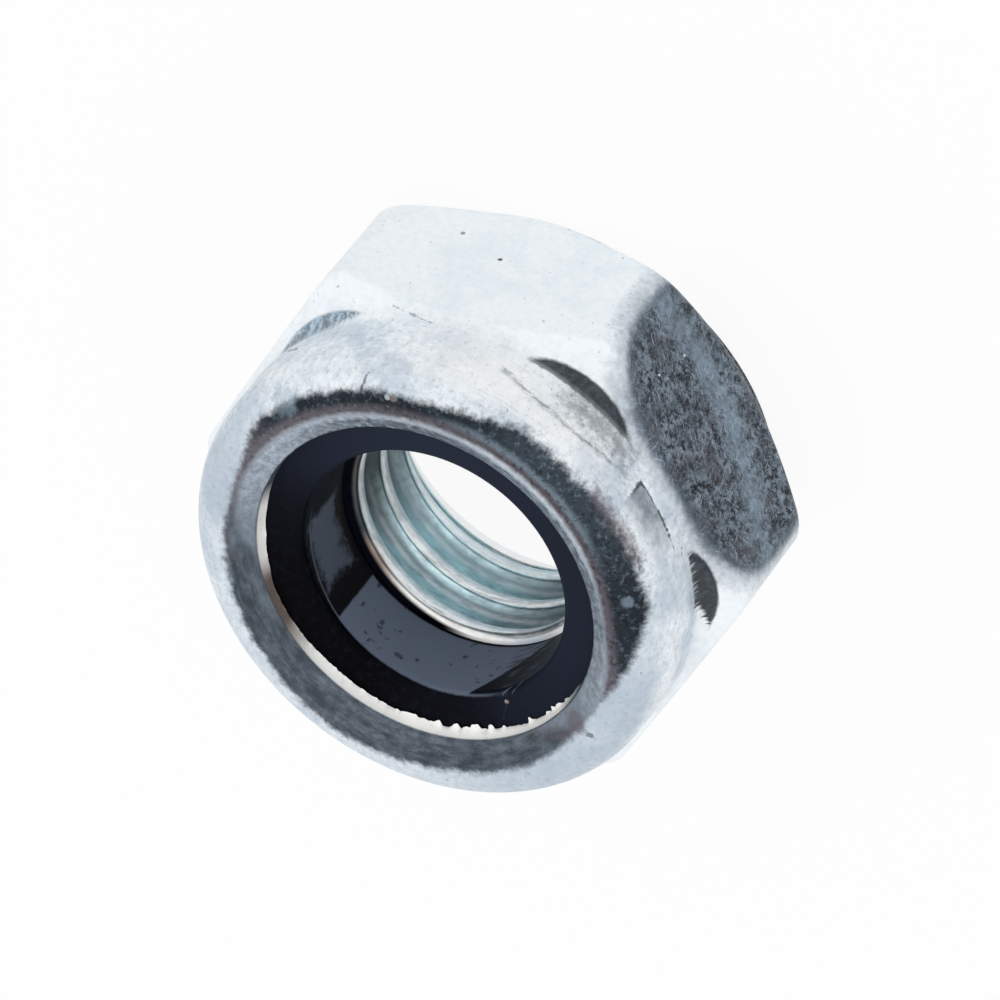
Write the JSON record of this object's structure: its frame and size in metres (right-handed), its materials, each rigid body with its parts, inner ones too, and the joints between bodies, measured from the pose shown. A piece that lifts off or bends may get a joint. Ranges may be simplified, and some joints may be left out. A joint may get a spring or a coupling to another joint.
{
  "type": "nylon insert lock nut",
  "caption": "Hexagon lock nut of bright zinc-plated steel with a round collar whose rim is rolled over a dark nylon insert.",
  "frame": {"origin": "centre of the bearing face, where the thread axis leaves the nut", "axes": "+Z along the thread axis, from the bearing face towards the rolled rim; +X square to one flat of the hexagon"},
  "size_m": [0.01, 0.0114, 0.0058],
  "materials": {
    "zinc_plated_steel": "bright zinc plate over cold-formed steel, mottled",
    "dark_nylon": "smooth moulded nylon"
  },
  "bodies": {
    "root": {"nut_body": "zinc_plated_steel", "nylon_insert": "dark_nylon"}
  },
  "joints": []
}
